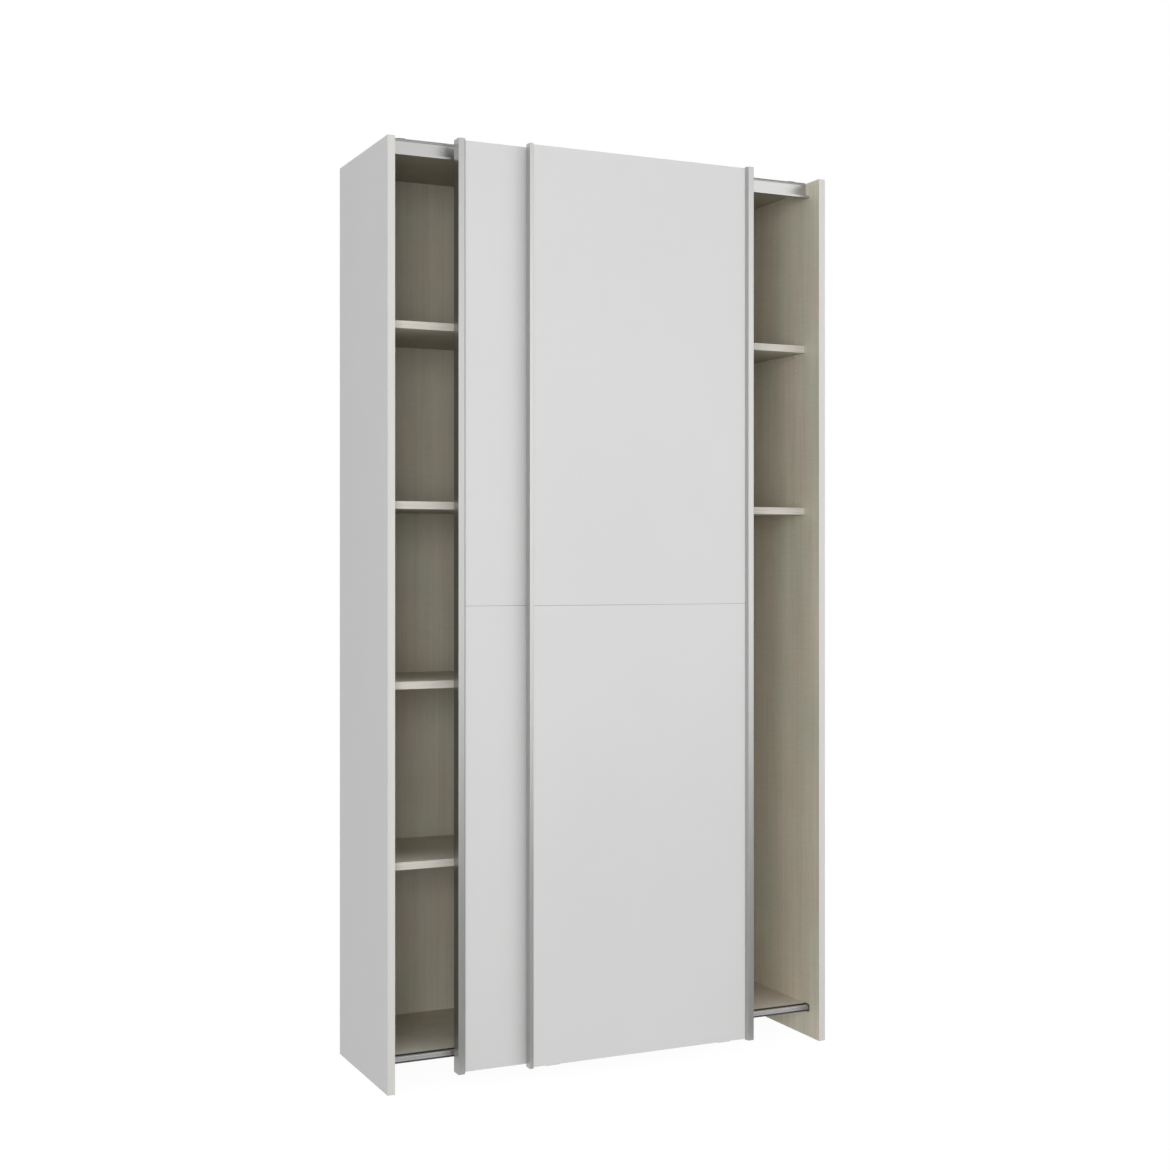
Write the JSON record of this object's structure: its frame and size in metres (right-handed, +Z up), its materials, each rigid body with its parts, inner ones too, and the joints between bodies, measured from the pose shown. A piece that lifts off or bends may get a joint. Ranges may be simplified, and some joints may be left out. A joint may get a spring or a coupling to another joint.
{
  "type": "broom cupboard",
  "caption": "Tall broom cupboard with sliding doors hung in front of an open-shelved carcass on roller hangers and aluminium rails.",
  "frame": {"origin": "on the floor, in the middle of the overall width and depth", "axes": "+X to the right seen from the front, -Y out of the front, +Z up"},
  "size_m": [0.975, 0.369, 1.8705],
  "materials": {
    "white_laminate": "white melamine laminate on chipboard, satin",
    "linen_laminate": "light grey-beige linen pattern laminate on chipboard, matt",
    "linen_back_sheet": "thin fibreboard with printed linen pattern, matt",
    "brushed_aluminium": "anodised, brushed along the length",
    "zinc_steel": "bright zinc plated",
    "white_nylon": "natural white nylon",
    "black_rubber": "black rubber",
    "beech": "fluted beech dowel",
    "grey_plastic": "dark grey plastic and pile"
  },
  "bodies": {
    "carcass": {"left_side_panel": "white_laminate", "right_side_panel": "white_laminate", "top_panel": "linen_laminate", "bottom_panel": "linen_laminate", "partition_panel": "linen_laminate", "centre_foot": "linen_laminate", "back_panel_left": "linen_back_sheet", "back_panel_right": "linen_back_sheet", "left_shelf_1": "linen_laminate", "left_shelf_2": "linen_laminate", "left_shelf_3": "linen_laminate", "left_shelf_4": "linen_laminate", "right_shelf_1": "linen_laminate", "right_shelf_2": "linen_laminate", "shelf_pins_left": "zinc_steel", "shelf_pins_right": "zinc_steel", "top_rail": "brushed_aluminium", "bottom_rail": "brushed_aluminium", "top_rail_screws": "zinc_steel", "bottom_rail_screws": "zinc_steel", "rail_dust_seal": "grey_plastic", "bottom_rail_caps": "grey_plastic", "rail_stops": "black_rubber", "cam_housings": "zinc_steel", "cam_bolts": "zinc_steel", "wood_dowels": "beech", "partition_screws": "zinc_steel", "back_panel_nails": "zinc_steel", "wall_brackets": "zinc_steel", "wall_bracket_screws": "zinc_steel"},
    "rear_door": {"rear_upper_board": "white_laminate", "rear_lower_board": "white_laminate", "rear_joint_strip": "brushed_aluminium", "rear_grip_profile": "brushed_aluminium", "rear_edge_profile": "brushed_aluminium", "rear_left_hanger": "zinc_steel", "rear_right_hanger": "zinc_steel", "rear_axles": "zinc_steel", "rear_guide_brackets": "zinc_steel", "rear_guide_sliders": "white_nylon", "rear_door_screws": "zinc_steel", "rear_door_buffers": "black_rubber"},
    "front_door": {"front_upper_board": "white_laminate", "front_lower_board": "white_laminate", "front_joint_strip": "brushed_aluminium", "front_grip_profile": "brushed_aluminium", "front_edge_profile": "brushed_aluminium", "front_left_hanger": "zinc_steel", "front_right_hanger": "zinc_steel", "front_axles": "zinc_steel", "front_guide_brackets": "zinc_steel", "front_guide_sliders": "white_nylon", "front_door_screws": "zinc_steel"},
    "rear_left_wheel": {"rear_left_wheel": "white_nylon"},
    "rear_right_wheel": {"rear_right_wheel": "white_nylon"},
    "front_left_wheel": {"front_left_wheel": "white_nylon"},
    "front_right_wheel": {"front_right_wheel": "white_nylon"}
  },
  "joints": [
    {"name": "rear_door_slide", "type": "slide", "parent": "carcass", "child": "rear_door", "axis": [1, 0, 0], "range_m": [-0.1355, 0.318]},
    {"name": "front_door_slide", "type": "slide", "parent": "carcass", "child": "front_door", "axis": [1, 0, 0], "range_m": [-0.277, 0.1925]},
    {"name": "rear_left_wheel_spin", "type": "hinge", "parent": "rear_door", "child": "rear_left_wheel", "pos_m": [-0.294, -0.111, 1.8295], "axis": [0, 1, 0], "continuous": true},
    {"name": "rear_right_wheel_spin", "type": "hinge", "parent": "rear_door", "child": "rear_right_wheel", "pos_m": [0.0955, -0.111, 1.8295], "axis": [0, 1, 0], "continuous": true},
    {"name": "front_left_wheel_spin", "type": "hinge", "parent": "front_door", "child": "front_left_wheel", "pos_m": [-0.1525, -0.085, 1.8615], "axis": [0, 1, 0], "continuous": true},
    {"name": "front_right_wheel_spin", "type": "hinge", "parent": "front_door", "child": "front_right_wheel", "pos_m": [0.237, -0.085, 1.8615], "axis": [0, 1, 0], "continuous": true}
  ],
  "couplings": [
    {"joint": "rear_left_wheel_spin", "follows": "rear_door_slide", "rad_per_m": 133.33},
    {"joint": "rear_right_wheel_spin", "follows": "rear_door_slide", "rad_per_m": 133.33},
    {"joint": "front_left_wheel_spin", "follows": "front_door_slide", "rad_per_m": 133.33},
    {"joint": "front_right_wheel_spin", "follows": "front_door_slide", "rad_per_m": 133.33}
  ]
}
